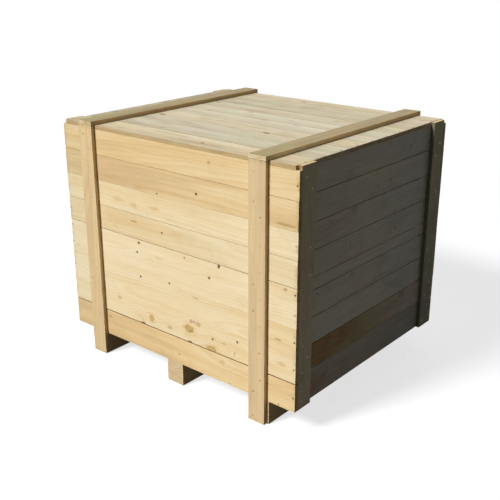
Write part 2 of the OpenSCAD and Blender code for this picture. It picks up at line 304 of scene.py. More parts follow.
class Tree:
    """A node tree and short ways to add to it."""

    def __init__(self, tree):
        self.tree = tree

    def add(self, kind, *inputs, **settings):
        """A new node; each input is a number, colour or name for its socket, a Value, or None."""
        node = self.tree.nodes.new(kind)
        count = len(self.tree.nodes)
        node.location = (200 * (count % 12), -260 * (count // 12))
        for name, value in settings.items():
            setattr(node, name, value)
        for socket, value in zip(node.inputs, inputs):
            self.feed(socket, value)
        return node

    def feed(self, socket, value):
        if isinstance(value, Value):
            self.tree.links.new(value.socket, socket)
        elif value is not None:
            socket.default_value = value

    def value(self, kind, *inputs, output=0, **settings):
        return Value(self, self.add(kind, *inputs, **settings).outputs[output])

    def named(self, node):
        """All that a node puts out, by name."""
        return {socket.name: Value(self, socket) for socket in node.outputs}

    def math(self, operation, *inputs, **settings):
        return self.value("ShaderNodeMath", *inputs, operation=operation, **settings)

    def vector(self, operation, *inputs):
        output = "Value" if operation == "LENGTH" else "Vector"
        return self.value("ShaderNodeVectorMath", *inputs, operation=operation, output=output)

    def scaled(self, vector, by):
        return self.vector("SCALE", vector, None, None, by)

    def split(self, vector):
        return [Value(self, axis) for axis in self.add("ShaderNodeSeparateXYZ", vector).outputs]

    def join(self, x=0.0, y=0.0, z=0.0):
        return self.value("ShaderNodeCombineXYZ", x, y, z)

    def between(self, factor, a, b):
        return self.value("ShaderNodeMix", factor, None, a, b)

    def highest(self, values):
        top = values[0]
        for value in values[1:]:
            top = self.math("MAXIMUM", top, value)
        return top

    def noise(self, vector, seed=0.0, detail=2.0, roughness=0.5):
        """Noise that changes about once a unit, from 0 to 1 about 0.5."""
        return self.value("ShaderNodeTexNoise", vector, seed, 1.0, detail, roughness,
                          noise_dimensions="4D")

    def chance(self, seed, output="Value"):
        """A number, or three as a colour, drawn by the seed."""
        return self.value("ShaderNodeTexWhiteNoise", None, seed, output=output,
                          noise_dimensions="1D")

    def paint(self, mask, under, over, blend="MIX"):
        """One colour over another, by the mask; each is a Value, or as it looks on a screen."""
        under, over = (c if isinstance(c, Value) else linear(c) for c in (under, over))
        passed_over = [None] * 5  # the node's inputs for mixing numbers and vectors
        return self.value("ShaderNodeMix", mask, *passed_over, under, over, output=2,
                          data_type="RGBA", blend_type=blend)

    def tint(self, mask, under, over):
        """The same, multiplied, so that what is under shows through."""
        return self.paint(mask, under, over, "MULTIPLY")

    def ramp(self, value, stops):
        """The colour at a value, among stops of (place, screen colour)."""
        node = self.add("ShaderNodeValToRGB", value)
        elements = node.color_ramp.elements
        for i, (place, colour) in enumerate(stops):
            stop = elements[i] if i < 2 else elements.new(place)
            stop.position, stop.color = place, linear(colour)
        return Value(self, node.outputs[0])

    def attribute(self, name, output="Fac"):
        """A mesh's attribute, in a material."""
        return self.value("ShaderNodeAttribute", output=output, attribute_name=name)

    def surface(self, bump, height, **inputs):
        """A material's Principled surface; bump is its (strength, depth)."""
        shader = self.add("ShaderNodeBsdfPrincipled")
        inputs["Normal"] = self.value("ShaderNodeBump", *bump, None, height)
        for name, value in inputs.items():
            self.feed(shader.inputs[name.replace("_", " ")], value)
        self.add("ShaderNodeOutputMaterial", Value(self, shader.outputs[0]))

    def group(self, name, build, **inputs):
        """What a shared group puts out, by name."""
        node = self.add("ShaderNodeGroup", node_tree=built_once(name, build))
        for label, value in inputs.items():
            self.feed(node.inputs[label.replace("_", " ")], value)
        return self.named(node)

    def give(self, **outputs):
        """Ends a group with what it puts out."""
        node = self.add("NodeGroupOutput")
        for label, value in outputs.items():
            self.feed(node.inputs[label], value)

    def stored(self, name, kind="FLOAT"):
        """A named attribute, in Geometry Nodes."""
        return self.value("GeometryNodeInputNamedAttribute", name, data_type=kind)

    def store(self, shape, name, value, kind=VECTOR, domain="POINT"):
        return self.value("GeometryNodeStoreNamedAttribute", shape, None, name, value,
                          data_type=kind, domain=domain)

    def on_points(self, points, shape):
        """A copy of the shape for each point, which remembers its place in the shape as "unit"."""
        shape = self.store(shape, "unit", self.value("GeometryNodeInputPosition"))
        placed = self.value("GeometryNodeInstanceOnPoints", points, None, shape)
        return self.value("GeometryNodeRealizeInstances", placed)

    def set_down(self, shape, place):
        """Each copy in the form that place gives it, turned and moved to where it belongs."""
        turn = self.value("FunctionNodeEulerToRotation", self.stored("turn", VECTOR))
        turned = self.value("FunctionNodeRotateVector", place, turn)
        moved = self.vector("ADD", turned, self.stored("centre", VECTOR))
        return self.value("GeometryNodeSetPosition", shape, None, moved)

    def finished(self, shape, material, spent):
        """The shape in its material, without its spent attributes."""
        for name in spent:
            shape = self.value("GeometryNodeRemoveAttribute", shape, name)
        shape = self.value("GeometryNodeRealizeInstances", shape)
        return self.value("GeometryNodeSetMaterial", shape, None, material)


SOCKETS = {"value": "NodeSocketFloat", "vector": "NodeSocketVector", "count": "NodeSocketInt",
           "shape": "NodeSocketGeometry", "material": "NodeSocketMaterial"}


def new_group(name, kind, outputs, **inputs):
    """A node group that takes the inputs named, each of its sort, and puts out values, or a shape
    where it is of Geometry Nodes; returns its Tree and its inputs."""
    made = bpy.data.node_groups.new(name, kind)
    result = "value" if kind == "ShaderNodeTree" else "shape"
    for label, sort in inputs.items():
        made.interface.new_socket(name=label.replace("_", " "), in_out="INPUT",
                                  socket_type=SOCKETS[sort])
    for label in outputs:
        made.interface.new_socket(name=label, in_out="OUTPUT", socket_type=SOCKETS[result])
    tree = Tree(made)
    given = tree.named(tree.add("NodeGroupInput"))
    return tree, [given[label.replace("_", " ")] for label in inputs]


def built_once(name, build):
    """The node group of that name, built when it is first asked for."""
    if name not in bpy.data.node_groups:
        build(name)
    return bpy.data.node_groups[name]


def figure_group(name):
    """Year rings about a pith near the board, long streaks, fine fibres and resin canals."""
    tree, (grain, seed, bend, ring_width) = new_group(
        name, "ShaderNodeTree", ("Rings", "Streaks", "Fibre", "Canals"),
        Grain="vector", Seed="value", Bend="value", Ring_Width="value")
    along, across, depth = tree.split(grain)
    # The pith lies up to 70 mm to either side and 18 to 88 mm down, and leans up to 15 mm a metre
    aside, below, lean = tree.split(tree.chance(seed, "Color"))
    side = across + bend - (aside * 0.14 - 0.07)
    down = depth - (below * -0.07 - 0.018)
    slope = lean * 0.03 - 0.015

    def changing(lengthwise, sideways, at=side, detail=2.0, roughness=0.5):
        """Noise that changes so often a metre, along the grain and across it."""
        place = tree.join(along * lengthwise, at * sideways, depth * sideways)
        return tree.noise(place, seed, detail, roughness)

    wobble = changing(1.3, 6.0, across) * 0.05 - 0.025
    radius = tree.vector("LENGTH", tree.join(side, down)) + wobble + along * slope
    uneven = tree.noise(tree.join(radius * 50.0), seed, 1.0)
    years = radius / ring_width + uneven * 1.6
    year = tree.math("MULTIPLY_ADD", tree.math("FLOOR", years), 0.37, seed)
    lush = tree.chance(year)  # a draw for each year; two nodes in place of one change them all
    # Each year's wood darkens slowly and is pale again at once, and some years' stays paler
    season = tree.math("FRACT", years)
    tree.give(Rings=season.fade(0.1, 0.88) * season.fade(1.0, 0.9) * (lush * 0.75 + 0.25),
              Streaks=changing(1.5, 34.0, side, 3.0, 0.6).fade(0.28, 0.72),
              Fibre=changing(28.0, 1100.0),
              Canals=changing(110.0, 1500.0, side, 1.0).fade(0.68, 0.76))


def knot_group(name):
    """One knot: heart, rim, its branch's rings, the stain round it, and how it bends the grain."""
    tree, (place, centre, radius, stretch) = new_group(
        name, "ShaderNodeTree", (*KNOT_MASKS, "Bend"),
        Place="vector", Centre="vector", Radius="value", Stretch="value")
    off = tree.vector("SUBTRACT", place, centre)
    x, y, _ = tree.split(off)
    oval = tree.join(x / stretch, y)
    share = 1.0 / radius
    own = tree.scaled(centre, 60.0)
    many = (0.9, 0.9, 0.9)  # the higher, the more lobes its outline has
    heading = tree.vector("MULTIPLY_ADD", tree.vector("NORMALIZE", oval), many, own)
    lobes = tree.noise(heading, 0.0, 1.0) * 0.9 + 0.55
    rough = tree.noise(tree.vector("ADD", tree.scaled(off, share), own), 3.0, 3.0, 0.6)
    # From here on 0 is the middle and 1 the edge of the heart
    away = tree.vector("LENGTH", oval) * share * lobes + (rough * 0.5 - 0.25)
    rim_at, rim_width, reach = 0.92, 0.24, 2.6
    often, gives_way = 17.0, 0.85  # how often the branch's rings come, how far the grain bends
    near = (tree.vector("LENGTH", tree.join(x, y)) / (radius * reach)).bell()
    tree.give(Heart=away.fade(1.15, 0.8),
              Rim=((away - rim_at) / rim_width).bell() * rough.fade(0.3, 0.55),
              Branch=tree.math("SINE", away * often) * 0.3 + away.fade(0.3, 0.0),
              Halo=away.fade(reach, 0.9),
              Bend=y * -gives_way * near)


def scatter_group(name):
    """Knots strewn over a board: one in each cell, if at all."""
    tree, (grain, seed, amount, largest) = new_group(
        name, "ShaderNodeTree", (*KNOT_MASKS, "Bend"),
        Grain="vector", Seed="value", Amount="value", Largest="value")
    long, wide, smallest = 0.26, 0.085, 0.003  # a cell, and a knot's radius
    along, across, _ = tree.split(grain)
    # The seed moves each timber to other cells
    cell = tree.join(along / long + seed * 7.3, across / wide + seed * 3.1)
    cells = tree.named(tree.add("ShaderNodeTexVoronoi", cell, None, 1.0, voronoi_dimensions="2D"))
    chance, size, _ = tree.split(cells["Color"])
    off = tree.vector("MULTIPLY", tree.vector("SUBTRACT", cell, cells["Position"]), (long, wide, 0))
    found = tree.group("Knot", knot_group, Place=off, Radius=size * size * largest + smallest,
                       Stretch=1.2)
    there = chance < amount
    tree.give(**{label: mask * there for label, mask in found.items()})


def wear_group(name):
    """Handling marks, and the dirt that gathers near a timber's ends and along its arrises."""
    tree, (place, margin, seed) = new_group(
        name, "ShaderNodeTree", ("Grime", "Scuffs"), Place="vector", Margin="vector", Seed="value")
    from_end, from_edge, _ = tree.split(margin)
    patches = tree.noise(tree.scaled(place, 9.0), seed, 4.0, 0.6)
    fine = tree.noise(tree.scaled(place, 45.0), seed, 3.0, 0.6)
    dirty_edge, dirty_end = 0.006, 0.02
    edge = from_edge.fade(dirty_edge, 0.0) * fine.fade(0.45, 0.7)
    end = from_end.fade(dirty_end, 0.0) * fine.fade(0.4, 0.7)
    tree.give(Grime=tree.highest([edge, end]), Scuffs=patches.fade(0.52, 0.72))


def weather_group(name):
    """What sun and rain do to bare wood: dark checks, and smears, bleached streaks and slow tints
    along the grain."""
    tree, (grain, seed) = new_group(name, "ShaderNodeTree", ("Checks", "Smears", "Bleach", "Tint"),
                                    Grain="vector", Seed="value")
    along, across, depth = tree.split(grain)

    def streak(lengthwise, sideways, apart, detail=2.0):
        """Noise that changes so often a metre; apart keeps one pattern from following another."""
        place = tree.join(along * lengthwise, across * sideways, depth + apart)
        return tree.noise(place, seed, detail, 0.6)

    fine, grouped = streak(3.0, 150.0, 0.0), streak(4.0, 20.0, 9.0)
    tree.give(Checks=fine.fade(0.60, 0.74) * grouped.fade(0.4, 0.62),
              Smears=streak(5.0, 42.0, 12.0, 3.0).fade(0.50, 0.72),
              Bleach=streak(2.2, 60.0, 3.0, 3.0).fade(0.48, 0.74),
              Tint=streak(3.5, 13.0, 6.0).fade(0.3, 0.7))


def tool_group(name):
    """The ripple that a planer or a saw leaves across the grain."""
    tree, (grain, seed, pitch) = new_group(
        name, "ShaderNodeTree", ("Height",), Grain="vector", Seed="value", Pitch="value")
    along, across, _ = tree.split(grain)
    waver = tree.noise(tree.join(along * 20.0, across * 30.0), seed)
    ripple = tree.math("SINE", (along + waver * 0.004) / pitch * math.tau)
    tree.give(Height=ripple * waver.fade(0.35, 0.6))


def bare_tree(owner):
    """The Tree of a new material or world, with no node in it."""
    owner.use_nodes = True
    owner.node_tree.nodes.clear()
    return Tree(owner.node_tree)


def knot_masks(tree, place, knots, plane):
    """The masks of the placed knots, by kind, and how far they bend the grain."""
    axes = dict(zip("xyz", tree.split(place)))
    flat = tree.join(axes[plane[0]], axes[plane[1]])
    masks, bend = {}, 0.0
    for along, up, radius, stretch, kind in knots:
        found = tree.group("Knot", knot_group, Place=flat, Centre=(along / MM, up / MM, 0),
                           Radius=radius / MM, Stretch=stretch)
        masks.setdefault(kind, []).append(found)
        if kind != "stain":
            bend = found["Bend"] + bend
    return masks, bend


def pine(name, knots=(), plane="", strewn=0.4, largest=0.012, figure=0.32, streaky=0.5,
         weather=0.0, cup_shade=0.0, wash=WHITE, sides=WHITE, ends=(0.88, 0.86, 0.83), fading=None,
         rough=0.62, gloss=0.3, pitch=0.0032, marks=0.25):
    """Planed pine.

    knots, plane: the placed knots, and the two axes that their places are given in
    strewn, largest: without a plane, the share of cells that hold a knot, and the knots' size
    figure, streaky: how plain the year rings and the long streaks are
    weather, lee: how weathered the open face is, and how dark it is towards its front edge, which is
    painted shade, as of a cupped board
    wash, sides, ends: tints of the open face, the narrow faces and the sawn ends
    fading: (from, to, tint), a further tint of the open face, which is none at the first place
        along the timber and full at the second
    rough, gloss: the finish
    pitch, marks: how far apart and how deep the planer's or saw's marks are
    """
    settings = bpy.context.scene.packing_box_pine
    material = bpy.data.materials.new(name)
    tree = bare_tree(material)
    grain, margin, tones = (tree.attribute(a, "Vector") for a in ("grain", "margin", "tone"))
    seed, end, narrow, joint = (tree.attribute(a) for a in ("seed", "end", "narrow", "joint"))
    place = tree.value("ShaderNodeTexCoord", output="Object")
    along, across, _ = tree.split(grain)

    if plane:
        masks, bend = knot_masks(tree, place, knots, plane)
    else:
        found = tree.group("Scattered knots", scatter_group, Grain=grain, Seed=seed,
                           Amount=strewn, Largest=largest)
        masks, bend = {"red": [found]}, found["Bend"]
    rings, streaks, fibre, canals = tree.group(
        "Pine figure", figure_group, Grain=grain, Seed=seed, Bend=bend,
        Ring_Width=settings.ring).values()
    grime, scuffs = tree.group("Wear", wear_group, Place=place, Margin=margin, Seed=seed).values()
    ripple, = tree.group("Tool marks", tool_group, Grain=grain, Seed=seed, Pitch=pitch).values()

    # Sound wood: its tone, the rings, fibres and canals
    left, right, grey = tree.split(tones)
    slow = tree.noise(tree.join(along * 2.2, across * 9.0), seed)
    tone = tree.between(along.fade(-0.45, 0.45), left, right)
    tone = tone + (streaks - 0.5) * streaky + (slow - 0.5) * 0.7
    wood = tree.ramp(tone, [(0.0, settings.cream), (0.33, settings.straw), (0.66, settings.gold),
                            (1.0, settings.tan)])
    covered = tree.highest([end, narrow])
    face = 1.0 - covered
    grey = tree.math("MULTIPLY", grey * face, streaks * 0.5 + 0.7, use_clamp=True)
    wood = tree.paint(grey, wood, settings.grey)
    wood = tree.tint(rings * tree.between(end, figure, 0.8), wood, settings.late)
    wood = tree.tint(1.0, wood, fibre * 0.16 + 0.92)
    wood = tree.tint(canals * 0.3, wood, TINTS["canals"])
    height = ripple * marks + (rings * 0.35 + fibre)

    if weather:
        checks, smears, bleach, drift = tree.group(
            "Weather", weather_group, Grain=grain, Seed=seed).values()
        bare = face * weather
        checks = checks * bare
        wood = tree.tint(bare, wood, tree.paint(drift, TINTS["warm"], TINTS["cool"]))
        wood = tree.paint(bleach * bare * 0.55, wood, TINTS["bleach"])
        wood = tree.tint(checks, wood, TINTS["checks"])
        wood = tree.tint(smears * bare, wood, TINTS["smears"])
        height = height - checks * 2.0
        if cup_shade:
            # Darker towards each board's front edge: painted shade, as a cupped board has
            low = (across + (streaks * 0.05 - 0.025)).fade(0.045, -0.055)
            wood = tree.tint(low * bare * cup_shade, wood, TINTS["cup_shade"])

    # Knots: the stain round each, which the grain breaks up, then its heart and its rim
    fleck = tree.noise(tree.join(along * 14.0, across * 210.0), seed, 3.0)
    uneven = fleck.fade(0.35, 0.62) * 1.1 + 0.1
    for kind, (heart, rim, solid, edge, stain) in KNOT_KINDS.items():
        if kind not in masks:
            continue
        heart, rim = getattr(settings, heart), getattr(settings, rim)
        seen = {part: tree.highest([found[part] for found in masks[kind]]) for part in KNOT_MASKS}
        spread = uneven * 0.4 + 0.55 if kind == "stain" else uneven
        around = settings.stain if kind == "stain" else settings.gold
        wood = tree.tint(seen["Halo"] * (spread * stain), wood, around)
        core = tree.math("MULTIPLY", seen["Branch"], 0.4, use_clamp=True)
        wood = tree.paint(seen["Heart"] * solid, wood, tree.paint(core, heart, rim))
        if edge:
            wood = tree.paint(seen["Rim"] * edge, wood, rim)
            height = height - seen["Heart"] * 1.2

    # Dirt and marks, then each face's own tint
    # Dark joints between boards, and painted shade on the sides of the skids and corner battens
    wood = tree.tint(joint, wood, TINTS["joint"])
    wood = tree.tint(grime * (covered * -0.3 + 0.4), wood, TINTS["grime"])
    wood = tree.tint(scuffs * 0.14, wood, TINTS["scuffs"])
    washes = [(face, wash), (covered - end, sides), (end, ends)]
    if fading:
        start, stop, tint = fading
        washes.append((face * along.fade(start, stop), tint))
    for mask, tint in washes:
        if tint != WHITE:
            wood = tree.tint(mask, wood, tint)
    shine = rings * -0.1 + (end * 0.2 + rough) + scuffs * 0.1
    tree.surface((0.35, 0.0004), height, Base_Color=wood, Roughness=shine, Specular_IOR_Level=gloss)
    return material


def dull_steel(settings):
    """Steel that has lost its shine and begun to rust."""
    material = bpy.data.materials.new("dull nail steel")
    tree = bare_tree(material)
    place = tree.value("ShaderNodeTexCoord", output="Object")
    blotches = tree.noise(tree.scaled(place, 330.0), 0.0, 4.0, 0.65)
    pits = tree.noise(tree.scaled(place, 2600.0))
    age = blotches + tree.attribute("rusty")
    rust = age.fade(0.95, 1.35)
    colour = tree.paint(rust, settings.steel, settings.rust)
    colour = tree.paint(age.fade(1.5, 1.9), colour, settings.crust)
    tree.surface((0.4, 0.0001), pits, Base_Color=colour, Metallic=tree.between(rust, 0.2, 0.0),
                 Roughness=tree.between(rust, 0.55, 0.85))
    return material


def timber_nodes(name):
    """Planed timbers on points: a box of rows and stations on each, shaped inside its solid."""
    tree, (points, stations, rows, arris, chips, wander, unevenness, trim, material) = new_group(
        name, "GeometryNodeTree", ("Timbers",), Points="shape", Stations="count", Rows="count",
        Arris="value", Chips="value", Wander="value", Unevenness="value", Trim="value",
        Material="material")
    through = 5  # rows through the thickness
    solid = tree.value("GeometryNodeMeshCube", (1, 1, 1), stations, rows, through)
    lengthwise, crosswise, _ = tree.split(tree.value("GeometryNodeInputNormal"))
    for label, there in (("end", abs(lengthwise) > 0.5), ("narrow", abs(crosswise) > 0.5),
                         ("upper", crosswise > 0.5)):
        solid = tree.store(solid, label, there, "FLOAT", "FACE")
    solid = tree.on_points(points, solid)

    unit, size = tree.stored("unit", VECTOR), tree.stored("size", VECTOR)
    seed = tree.stored("seed")
    half = tree.split(tree.scaled(size, 0.5))
    share = tree.split(tree.scaled(unit, 2.0))
    local = tree.vector("MULTIPLY", unit, size)
    along, across, _ = tree.split(local)
    end, side, face = (tree.math("SIGN", part) for part in share)
    edge_line = tree.join(0.0, side * 5.0, face * 5.0)

    def rough_line(rate, apart, detail=2.0):
        """Noise along one long edge, different for each edge and timber."""
        place = tree.vector("ADD", edge_line, tree.join(along * rate, apart))
        return tree.noise(place, seed, detail)

    # The eased edge, which is wider where it is chipped and narrow in a tight joint
    below, above, set_back = tree.split(tree.stored("joints", VECTOR))
    open_ = tree.between(side > 0.0, below, above)
    arris = arris * (rough_line(22.0, 0.0) + 0.5)
    arris = rough_line(15.0, 40.0, 3.0).fade(0.62, 0.8) * chips + arris
    arris = arris * (open_ * 0.9 + 0.1)

    def spread(axis, count):
        """(where the rows lie, whether a row is the outermost), across one axis of the section."""
        inner = 1.0 - 2.0 / (count - 1.0)
        part = abs(share[axis])
        outer = part > inner + 0.001
        return tree.between(outer, part / inner * (half[axis] - arris), half[axis]), outer

    wide, outer_side = spread(1, rows)
    deep, outer_face = spread(2, through)
    drawn_in = 0.29  # of the eased edge, so that its corner rows stand on a quarter circle
    corner = outer_side * outer_face * (arris * drawn_in)

    # The edges stray, the faces are hollow, each board lies back a little, and the ends fall short
    outside = abs(share[2]) > 0.1
    stray = wander * rough_line(2.5, 80.0) * (outside * (open_ + 0.15))
    hollow = tree.noise(tree.join(along * 1.5, across * 14.0, face * 9.0), seed, 1.0)
    fall = unevenness * (hollow + set_back)
    short = tree.noise(tree.join(end * 9.0, across * 2.0), seed, 0.0)
    short = trim * short.fade(0.25, 0.75)
    wide = (wide - corner) * (1.0 - stray / half[1])
    deep = (deep - corner) * (1.0 - fall / half[2])
    place = tree.join(along * (1.0 - short / half[0]), wide * side, deep * face)

    # The narrow faces darken with their joint's openness: dark joints between boards, and painted
    # shade on the sides of the skids and the corner battens
    dark = tree.between(tree.stored("upper"), below, above) * tree.stored("narrow")
    margin = tree.vector("SUBTRACT", tree.scaled(size, 0.5), tree.vector("ABSOLUTE", local))
    solid = tree.store(solid, "joint", dark, "FLOAT", "FACE")
    solid = tree.store(solid, "grain", local)
    solid = tree.store(solid, "margin", margin)
    solid = tree.set_down(solid, place)
    spent = ("unit", "size", "centre", "turn", "joints", "upper")
    tree.give(Timbers=tree.finished(solid, material, spent))


def nail_nodes(name):
    """Nails on points: a grid on each, wound into a revolved head, shank and point."""
    tree, (points, head, shank, plate, material) = new_group(
        name, "GeometryNodeTree", ("Nails",), Points="shape", Head="value", Shank="value",
        Plate="value", Material="material")
    around, rows = 13, 7
    solid = tree.on_points(points, tree.value("GeometryNodeMeshGrid", 1.0, 1.0, around, rows))
    u, v, _ = tree.split(tree.stored("unit", VECTOR))
    head, shank = head * 0.5, shank * 0.5
    under, tip = plate * -1.0, tree.stored("reach") * -1.0
    dome, rim, neck, point = 0.00006, 0.0004, 0.0008, 0.005  # how far each goes down
    profile = [(0.0, 0.0), (head * 0.72, -dome), (head, -rim), (head * 0.97, under),
               (shank, under - neck), (shank, tip + point), (0.0, tip)]  # radius and height
    pick = tree.add("GeometryNodeIndexSwitch", data_type="VECTOR")
    for _ in range(rows - 2):
        pick.index_switch_items.new()
    tree.feed(pick.inputs[0], tree.math("ROUND", (0.5 - v) * (rows - 1.0)))
    for i, (radius, height) in enumerate(profile, 1):
        tree.feed(pick.inputs[i], tree.join(radius, 0.0, height))
    radius, _, height = tree.split(Value(tree, pick.outputs[0]))
    own_turn = tree.stored("rusty") * 40.0  # no two nails stand the same way round
    angle = u * math.tau + own_turn
    x, y = (radius * tree.math(wave, angle) for wave in ("COSINE", "SINE"))
    solid = tree.set_down(solid, tree.join(x, y, height))
    closed = 0.00001
    solid = tree.value("GeometryNodeMergeByDistance", solid, None, closed)
    spent = ("unit", "centre", "turn", "reach")
    tree.give(Nails=tree.finished(solid, material, spent))


def solids(node):
    """(lowest corner, highest corner) of each solid in a node, from the bottom, front or left."""
    mesh = frame["nodes"][node].data
    points = np.array([v.co for v in mesh.vertices])
    corners = np.array([p.vertices[:] for p in mesh.polygons])
    _, same = np.unique(np.round(points, 5), axis=0, return_inverse=True)
    same = same.reshape(-1)
    corners = same[corners]
    label = np.arange(same.max() + 1)
    while True:  # the lowest label of each solid spreads over its faces
        lowest = label.copy()
        for i in range(3):
            np.minimum.at(lowest, corners[:, i], label[corners].min(axis=1))
        lowest = lowest[lowest]
        if (lowest == label).all():
            break
        label = lowest
    boxes = []
    for solid in np.unique(label):
        own = points[label[same] == solid]
        boxes.append((Vector(own.min(axis=0)), Vector(own.max(axis=0))))
    return sorted(boxes, key=lambda box: (round(box[0].z, 3), round(box[0].y, 3), box[0].x))


def facing(along, out):
    """The turn of a timber that runs along one axis and shows its face to another."""
    return Matrix((along, out.cross(along), out)).transposed().to_euler()


def axis_of(direction):
    return max(range(3), key=lambda i: abs(direction[i]))


def new_object(name, data):
    made = bpy.data.objects.new(name, data)
    bpy.context.scene.collection.objects.link(made)
    return made


def points_with(name, starts):
    """A mesh of one vertex for each start, with the start's values as attributes."""
    mesh = bpy.data.meshes.new(name)
    mesh.from_pydata([start["centre"] for start in starts], [], [])
    for key, value in starts[0].items():
        if isinstance(value, float):
            flat = [start[key] for start in starts]
            mesh.attributes.new(key, "FLOAT", "POINT").data.foreach_set("value", flat)
        else:
            flat = [x for start in starts for x in start[key]]
            mesh.attributes.new(key, VECTOR, "POINT").data.foreach_set("vector", flat)
    return mesh


def grown(name, starts, nodes, **inputs):
    """A piece grown from starting points by a Geometry Nodes tree, as a plain mesh."""
    piece = new_object(name, points_with(name, starts))
    modifier = piece.modifiers.new(nodes.name, "NODES")
    modifier.node_group = nodes
    for item in nodes.interface.items_tree:
        key = item.name.lower()
        if item.in_out == "INPUT" and key in inputs:
            modifier[item.identifier] = inputs[key]
    depsgraph = bpy.context.evaluated_depsgraph_get()
    mesh = bpy.data.meshes.new_from_object(piece.evaluated_get(depsgraph), depsgraph=depsgraph,
                                           preserve_all_data_layers=True)
    piece.modifiers.remove(modifier)
    raw, piece.data = piece.data, mesh
    bpy.data.meshes.remove(raw)
    if not mesh.polygons:
        raise RuntimeError(f"{name} has no faces")
    return piece


def stand_in(piece, node):
    """The piece takes a CAD node's place, on its body."""
    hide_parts(node)
    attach(piece, frame["nodes"][node]["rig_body"])


def make_timbers(node, material, along, out, tones=None, joints=(0.6,)):
    """All the timbers of one CAD node, as one piece. tones are (left, right, grey) for each timber,
    and joints say how open the joint on each side of each looks, across the panel. The narrow faces
    darken with them: dark joints between boards, and painted shade on the sides of the skids and the
    corner battens."""
    settings = bpy.context.scene.packing_box_timber
    dice = random.Random(node)
    turn = facing(along, out)
    lengthwise, depthwise = axis_of(along), axis_of(out)
    crosswise = 3 - lengthwise - depthwise
    points = []
    for i, (low, high) in enumerate(solids(node)):
        size = high - low
        tone = tones[i % len(tones)] if tones else (dice.uniform(*ANY_TONE),
                                                    dice.uniform(*ANY_TONE), 0)
        below, above = joints[i % len(joints)], joints[(i + 1) % len(joints)]
        points.append({"centre": (low + high) / 2, "turn": turn,
                       "size": (size[lengthwise], size[crosswise], size[depthwise]),
                       "seed": dice.uniform(0, SEEDS), "tone": tone,
                       "joints": (below, above, max(below, above) * dice.random())})
    longest = max(point["size"][0] for point in points)
    piece = grown(f"{node}_pine", points, built_once("Planed timbers", timber_nodes),
                  stations=round(longest / settings.spacing) + 1, rows=9,
                  arris=settings.arris, chips=settings.chips, wander=settings.wander,
                  unevenness=settings.unevenness, trim=settings.trim, material=material)
    stand_in(piece, node)


def make_panel(panel, plane, along, out, tones, joints, knots, looks):
    """A panel in view, with a piece for each board. Each has the knots whose hearts lie in it, and
    what its own look says."""
    across = "xyz".index(plane[1])
    for i, (tone, look) in enumerate(zip(tones, looks), 1):
        node = f"{panel}_board_{i}"
        low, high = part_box(node)
        own = [knot for knot in knots if low[across] <= knot[1] / MM <= high[across]]
        wood = pine(node.replace("_", " "), own, plane, **look)
        make_timbers(node, wood, along, out, [tone], joints[i - 1:i + 1])


class PACKINGBOX_OT_front_panel(bpy.types.Operator):
    """Makes the boards of the front long panel, each with its own knots"""

    bl_idname = "packing_box.front_panel"
    bl_label = "Front panel"

    def execute(self, context):
        looks = [{"streaky": 0.8 if i == 8 else 0.5, "fading": (-0.45, -0.5, FRONT_FADE)}
                 for i in range(1, len(FRONT_TONES) + 1)]
        make_panel("front", "xz", X, -Y, FRONT_TONES, FRONT_JOINTS, FRONT_KNOTS, looks)
        return {"FINISHED"}


class PACKINGBOX_OT_right_end(bpy.types.Operator):
    """Makes the boards of the right end panel, each with its own knots"""

    bl_idname = "packing_box.right_end"
    bl_label = "Right end"

    def execute(self, context):
        # Each board's fading darkens it towards the back, painted shade, except board 2's
        looks = [{"streaky": 1.3, "figure": 0.5, "weather": 0.7, "gloss": 0.3 if i > 2 else 0.12,
                  "wash": END_WASHES.get(i, WHITE),
                  "fading": (-0.1, 0.35, END_FADES.get(i, END_BACK_SHADE))}
                 for i in range(1, len(END_TONES) + 1)]
        make_panel("right_end", "yz", Y, X, END_TONES, END_JOINTS, END_KNOTS, looks)
        return {"FINISHED"}


class PACKINGBOX_OT_hidden_panels(bpy.types.Operator):
    """Makes the boards of the back panel, the left end and the floor"""

    bl_idname = "packing_box.hidden_panels"
    bl_label = "Back, left end and floor"

    def execute(self, context):
        wood = pine("panel boards")
        make_timbers("back_boards", wood, -X, Y, FRONT_TONES, FRONT_JOINTS)
        make_timbers("left_end_boards", wood, -Y, -X, FRONT_TONES, END_JOINTS)
        make_timbers("floor_boards", wood, X, Z)
        return {"FINISHED"}


class PACKINGBOX_OT_lid_boards(bpy.types.Operator):
    """Makes the boards of the lid, each with its own knots"""

    bl_idname = "packing_box.lid_boards"
    bl_label = "Lid boards"

    def execute(self, context):
        # lee paints shade along each lid board's front edge
        looks = [{"streaky": 1.3, "weather": 1.0, "cup_shade": 0.6, "rough": 0.7,
                  "wash": (light - 0.005, light, light - 0.01), "sides": (0.94, 0.945, 0.945),
                  "ends": (0.98, 0.98, 0.985), "fading": (-0.42, -0.5, LID_FADES.get(i, LID_FADE))}
                 for i, light in enumerate(LID_LIGHTS, 1)]
        make_panel("lid", "xy", X, Z, LID_TONES, LID_JOINTS, LID_KNOTS, looks)
        return {"FINISHED"}


